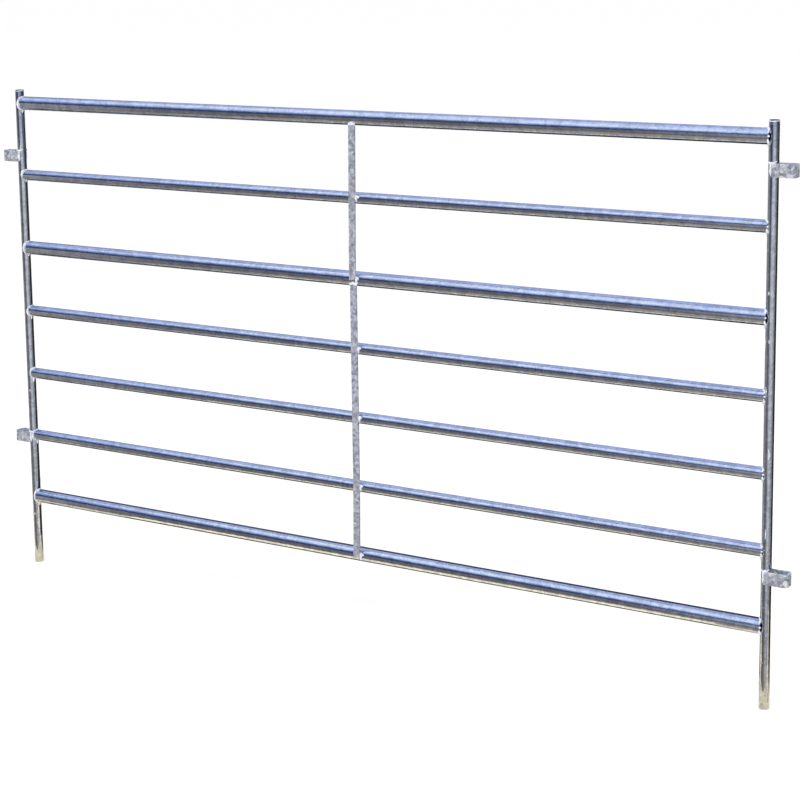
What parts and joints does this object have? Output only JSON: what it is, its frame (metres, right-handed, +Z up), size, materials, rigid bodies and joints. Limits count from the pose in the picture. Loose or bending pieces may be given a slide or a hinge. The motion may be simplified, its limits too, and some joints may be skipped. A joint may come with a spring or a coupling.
{
  "type": "sheep hurdle",
  "caption": "Galvanised steel hurdle of seven round rails between two post legs, with a flat-bar stay and pin loops at both ends.",
  "frame": {"origin": "midway between the two posts, on the plane of their axes, level with the lower ends of the legs", "axes": "+X along the panel to its right end seen from the stay side, -Y towards the stay side, +Z up"},
  "size_m": [1.924, 0.0371, 1.1245],
  "materials": {
    "galvanised_rail": "glossy hot-dip zinc on drawn tube",
    "galvanised_post": "satin hot-dip zinc on tube",
    "galvanised_flat_bar": "dull mottled hot-dip zinc on rolled bar",
    "galvanised_strip": "dull hot-dip zinc on bent strip",
    "zinc_coated_weld": "bright zinc over rough weld metal"
  },
  "bodies": {
    "root": {"bottom_rail": "galvanised_rail", "bottom_rail_welds": "zinc_coated_weld", "left_lower_loop": "galvanised_strip", "left_lower_loop_welds": "zinc_coated_weld", "left_post": "galvanised_post", "left_upper_loop": "galvanised_strip", "left_upper_loop_welds": "zinc_coated_weld", "lower_stay": "galvanised_flat_bar", "lower_stay_welds": "zinc_coated_weld", "rail_five": "galvanised_rail", "rail_five_welds": "zinc_coated_weld", "rail_four": "galvanised_rail", "rail_four_welds": "zinc_coated_weld", "rail_six": "galvanised_rail", "rail_six_welds": "zinc_coated_weld", "rail_three": "galvanised_rail", "rail_three_welds": "zinc_coated_weld", "rail_two": "galvanised_rail", "rail_two_welds": "zinc_coated_weld", "right_lower_loop": "galvanised_strip", "right_lower_loop_welds": "zinc_coated_weld", "right_post": "galvanised_post", "right_upper_loop": "galvanised_strip", "right_upper_loop_welds": "zinc_coated_weld", "top_rail": "galvanised_rail", "top_rail_welds": "zinc_coated_weld", "upper_stay": "galvanised_flat_bar", "upper_stay_welds": "zinc_coated_weld"}
  },
  "joints": []
}
